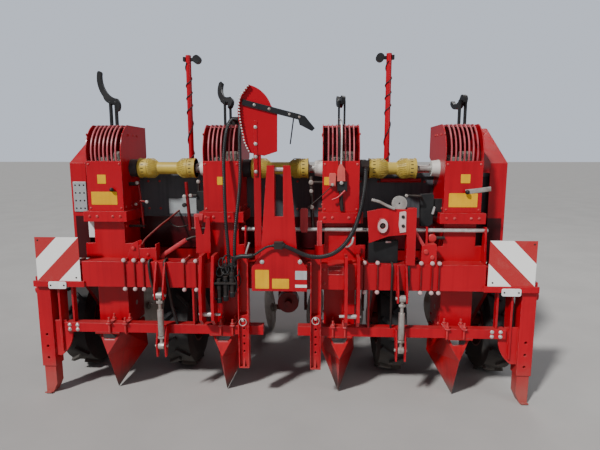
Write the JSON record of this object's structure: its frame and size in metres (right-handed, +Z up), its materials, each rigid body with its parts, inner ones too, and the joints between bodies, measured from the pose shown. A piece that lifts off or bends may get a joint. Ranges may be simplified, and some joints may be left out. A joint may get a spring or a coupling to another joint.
{
  "type": "potato planter",
  "caption": "Mounted row planter for potatoes: cup belts in upright housings over furrow openers, with a seed hopper, ground wheels and covering discs.",
  "frame": {"origin": "on the ground under the middle of the machine's outer box", "axes": "+X to the right across the machine as seen from the tractor side, +Y to the rear, +Z up"},
  "size_m": [3.2, 2, 2.236],
  "materials": {
    "red_paint": "satin",
    "red_worn": "worn",
    "black_tyre": "matt",
    "rubber": "matt",
    "steel": "satin",
    "yellow_plastic": "satin",
    "white_plastic": "satin",
    "black_plastic": "satin",
    "belt": "matt",
    "panel_sheet": "satin",
    "black_paint": "satin",
    "grey_paint": "satin"
  },
  "bodies": {
    "frame": {"bar_hangers": "red_paint", "belt_levers": "black_plastic", "belt_pulleys": "steel", "cross_shaft": "steel", "cup_belts": "belt", "depth_spindles": "steel", "disc_arms": "red_paint", "element_housing_1": "red_paint", "element_housing_2": "red_paint", "element_housing_3": "red_paint", "element_housing_4": "red_paint", "front_covers": "red_paint", "furrow_opener_1": "red_worn", "furrow_opener_2": "red_worn", "furrow_opener_3": "red_worn", "furrow_opener_4": "red_worn", "guard_cones": "white_plastic", "guide_rods": "red_paint", "headstock": "red_paint", "hitch_pins": "steel", "hopper": "red_paint", "hopper_aprons": "grey_paint", "hose_1": "rubber", "hose_2": "rubber", "hose_3": "rubber", "hose_4": "rubber", "hose_arm": "black_paint", "hose_couplers": "steel", "hose_guide": "red_paint", "lamp_poles": "red_paint", "link_plates": "red_paint", "lower_bars": "red_paint", "main_beam": "red_paint", "rear_frame": "red_paint", "shaft_brackets": "red_paint", "shaft_guards": "yellow_plastic", "stand_sleeves": "red_paint", "warning_panels": "panel_sheet", "wheel_arms": "red_paint", "work_lamps": "black_plastic"},
    "wheel_4": {"tyre_4": "black_tyre", "rim_4": "red_paint"},
    "wheel_3": {"tyre_3": "black_tyre", "rim_3": "red_paint"},
    "wheel_2": {"tyre_2": "black_tyre", "rim_2": "red_paint"},
    "wheel_1": {"tyre_1": "black_tyre", "rim_1": "red_paint"},
    "disc_1": {"covering_disc_1": "red_worn"},
    "disc_2": {"covering_disc_2": "red_worn"},
    "disc_3": {"covering_disc_3": "red_worn"},
    "disc_4": {"covering_disc_4": "red_worn"},
    "disc_5": {"covering_disc_5": "red_worn"},
    "disc_6": {"covering_disc_6": "red_worn"},
    "disc_7": {"covering_disc_7": "red_worn"},
    "disc_8": {"covering_disc_8": "red_worn"},
    "outer_leg_right_body": {"outer_leg_right": "red_paint"},
    "outer_leg_left_body": {"outer_leg_left": "red_paint"},
    "inner_leg_right_body": {"inner_leg_right": "red_paint"},
    "inner_leg_left_body": {"inner_leg_left": "red_paint"}
  },
  "joints": [
    {"name": "wheel_4_spin", "type": "hinge", "parent": "frame", "child": "wheel_4", "pos_m": [-1.48, -0.34, 0.37], "axis": [1, 0, 0], "continuous": true},
    {"name": "wheel_3_spin", "type": "hinge", "parent": "frame", "child": "wheel_3", "pos_m": [-0.75, -0.34, 0.37], "axis": [1, 0, 0], "continuous": true},
    {"name": "wheel_2_spin", "type": "hinge", "parent": "frame", "child": "wheel_2", "pos_m": [0.75, -0.34, 0.37], "axis": [1, 0, 0], "continuous": true},
    {"name": "wheel_1_spin", "type": "hinge", "parent": "frame", "child": "wheel_1", "pos_m": [1.48, -0.34, 0.37], "axis": [1, 0, 0], "continuous": true},
    {"name": "disc_1_spin", "type": "hinge", "parent": "frame", "child": "disc_1", "pos_m": [1.325, 0.33, 0.21], "axis": [0.9397, 0.342, 0], "continuous": true},
    {"name": "disc_2_spin", "type": "hinge", "parent": "frame", "child": "disc_2", "pos_m": [0.925, 0.33, 0.21], "axis": [-0.9397, 0.342, 0], "continuous": true},
    {"name": "disc_3_spin", "type": "hinge", "parent": "frame", "child": "disc_3", "pos_m": [0.575, 0.33, 0.21], "axis": [0.9397, 0.342, 0], "continuous": true},
    {"name": "disc_4_spin", "type": "hinge", "parent": "frame", "child": "disc_4", "pos_m": [0.175, 0.33, 0.21], "axis": [-0.9397, 0.342, 0], "continuous": true},
    {"name": "disc_5_spin", "type": "hinge", "parent": "frame", "child": "disc_5", "pos_m": [-0.175, 0.33, 0.21], "axis": [0.9397, 0.342, 0], "continuous": true},
    {"name": "disc_6_spin", "type": "hinge", "parent": "frame", "child": "disc_6", "pos_m": [-0.575, 0.33, 0.21], "axis": [-0.9397, 0.342, 0], "continuous": true},
    {"name": "disc_7_spin", "type": "hinge", "parent": "frame", "child": "disc_7", "pos_m": [-0.925, 0.33, 0.21], "axis": [0.9397, 0.342, 0], "continuous": true},
    {"name": "disc_8_spin", "type": "hinge", "parent": "frame", "child": "disc_8", "pos_m": [-1.325, 0.33, 0.21], "axis": [-0.9397, 0.342, 0], "continuous": true},
    {"name": "outer_leg_right_slide", "type": "slide", "parent": "frame", "child": "outer_leg_right_body", "axis": [0, 0, 1], "range_m": [0, 0.16]},
    {"name": "outer_leg_left_slide", "type": "slide", "parent": "frame", "child": "outer_leg_left_body", "axis": [0, 0, 1], "range_m": [0, 0.16]},
    {"name": "inner_leg_right_slide", "type": "slide", "parent": "frame", "child": "inner_leg_right_body", "axis": [0, 0, 1], "range_m": [-0.24, 0]},
    {"name": "inner_leg_left_slide", "type": "slide", "parent": "frame", "child": "inner_leg_left_body", "axis": [0, 0, 1], "range_m": [-0.24, 0]}
  ]
}
